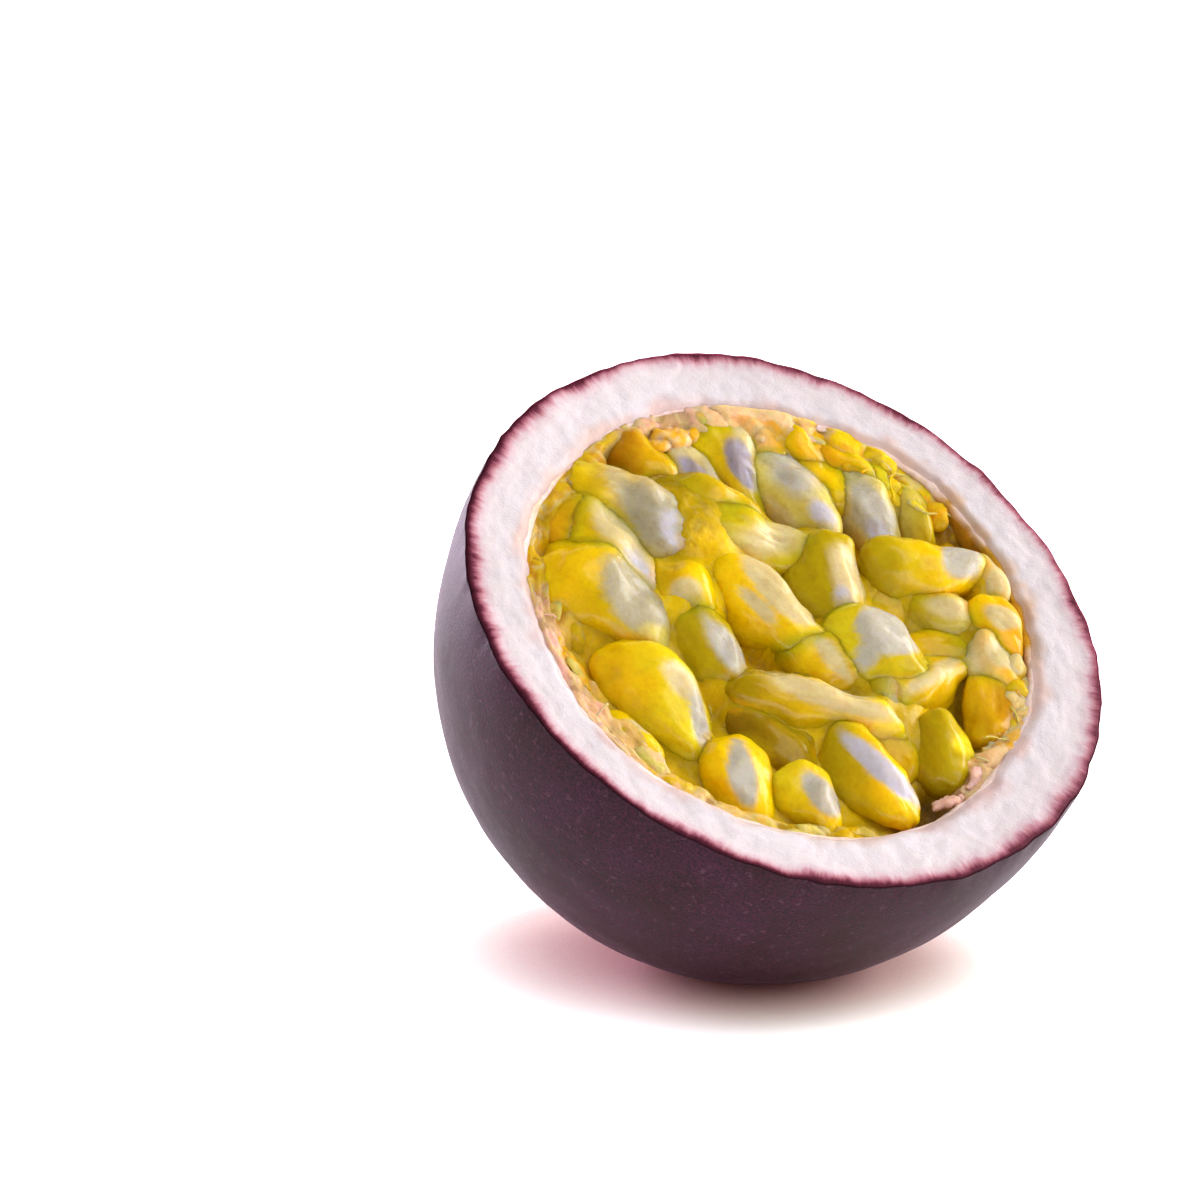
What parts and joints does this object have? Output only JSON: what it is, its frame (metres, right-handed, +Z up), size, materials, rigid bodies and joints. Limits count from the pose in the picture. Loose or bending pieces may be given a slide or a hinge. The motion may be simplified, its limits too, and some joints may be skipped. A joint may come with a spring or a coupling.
{
  "type": "passion fruit half",
  "caption": "Halved passion fruit lying on its side on a small flat spot, cut face leaning forward, with a thick pale rind round glossy yellow juice sacs.",
  "frame": {"origin": "middle of the small flat spot that the rind rests on", "axes": "+Z up; the cut face leans forward, towards -Y, and the blossom end points back and down"},
  "size_m": [0.0499, 0.047, 0.0434],
  "materials": {
    "rind": "dark purple skin with a faint speckle and soft sheen, over matt white pith that turns mauve at the skin",
    "pulp": "wet, glossy yellow juice sacs with pale and grey-green seeds inside, and thin peach membrane"
  },
  "bodies": {
    "root": {"shell": "rind", "pulp": "pulp"}
  },
  "joints": []
}
